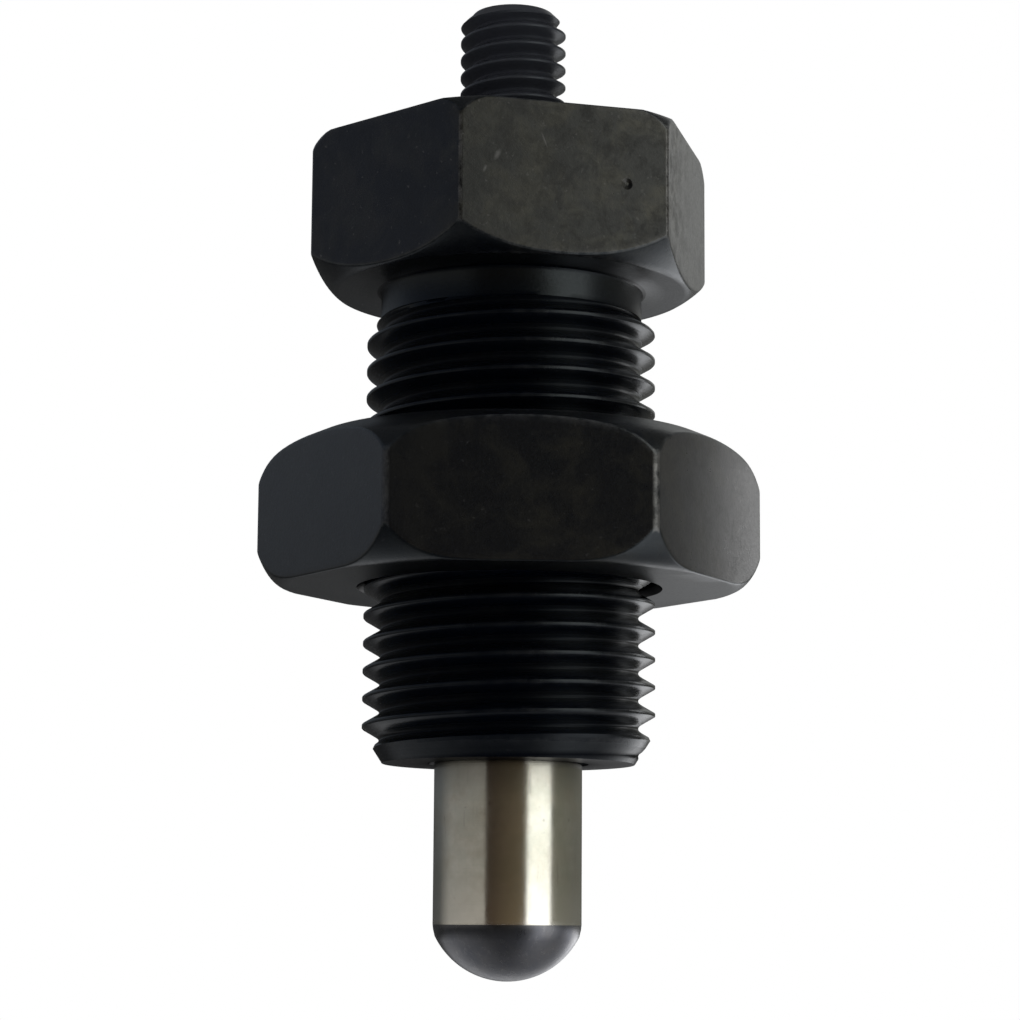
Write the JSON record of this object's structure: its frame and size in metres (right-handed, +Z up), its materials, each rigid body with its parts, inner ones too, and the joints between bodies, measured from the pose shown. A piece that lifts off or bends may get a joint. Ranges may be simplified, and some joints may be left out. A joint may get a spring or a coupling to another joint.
{
  "type": "indexing plunger",
  "caption": "Threaded spring plunger with a hexagon head, lock nut, round-nosed sprung pin and threaded end for a pull knob.",
  "frame": {"origin": "on the common axis, in the lock nut's lower face, the face that clamps on the fixture", "axes": "+Z up the axis from the plunger's nose to its knob thread, +X through a corner of the hexagon head"},
  "size_m": [0.027, 0.0266, 0.0537],
  "materials": {
    "black_oxide_steel": "black oxide, dull satin",
    "ground_steel": "ground bright, dark at the tip",
    "spring_steel": "drawn wire"
  },
  "bodies": {
    "housing": {"body": "black_oxide_steel", "guide_bush": "black_oxide_steel"},
    "plunger": {"plunger_pin": "ground_steel", "spring": "spring_steel"},
    "nut": {"lock_nut": "black_oxide_steel"}
  },
  "joints": [
    {"name": "plunger_slide", "type": "slide", "parent": "housing", "child": "plunger", "axis": [0, 0, 1], "range_m": [0, 0.012], "stiffness_N_per_m": 1760, "springref_m": -0.005, "deforming": ["spring"]},
    {"name": "lock_nut_slide", "type": "slide", "parent": "housing", "child": "nut", "axis": [0, 0, 1], "range_m": [-0.00955, 0.00845]}
  ]
}
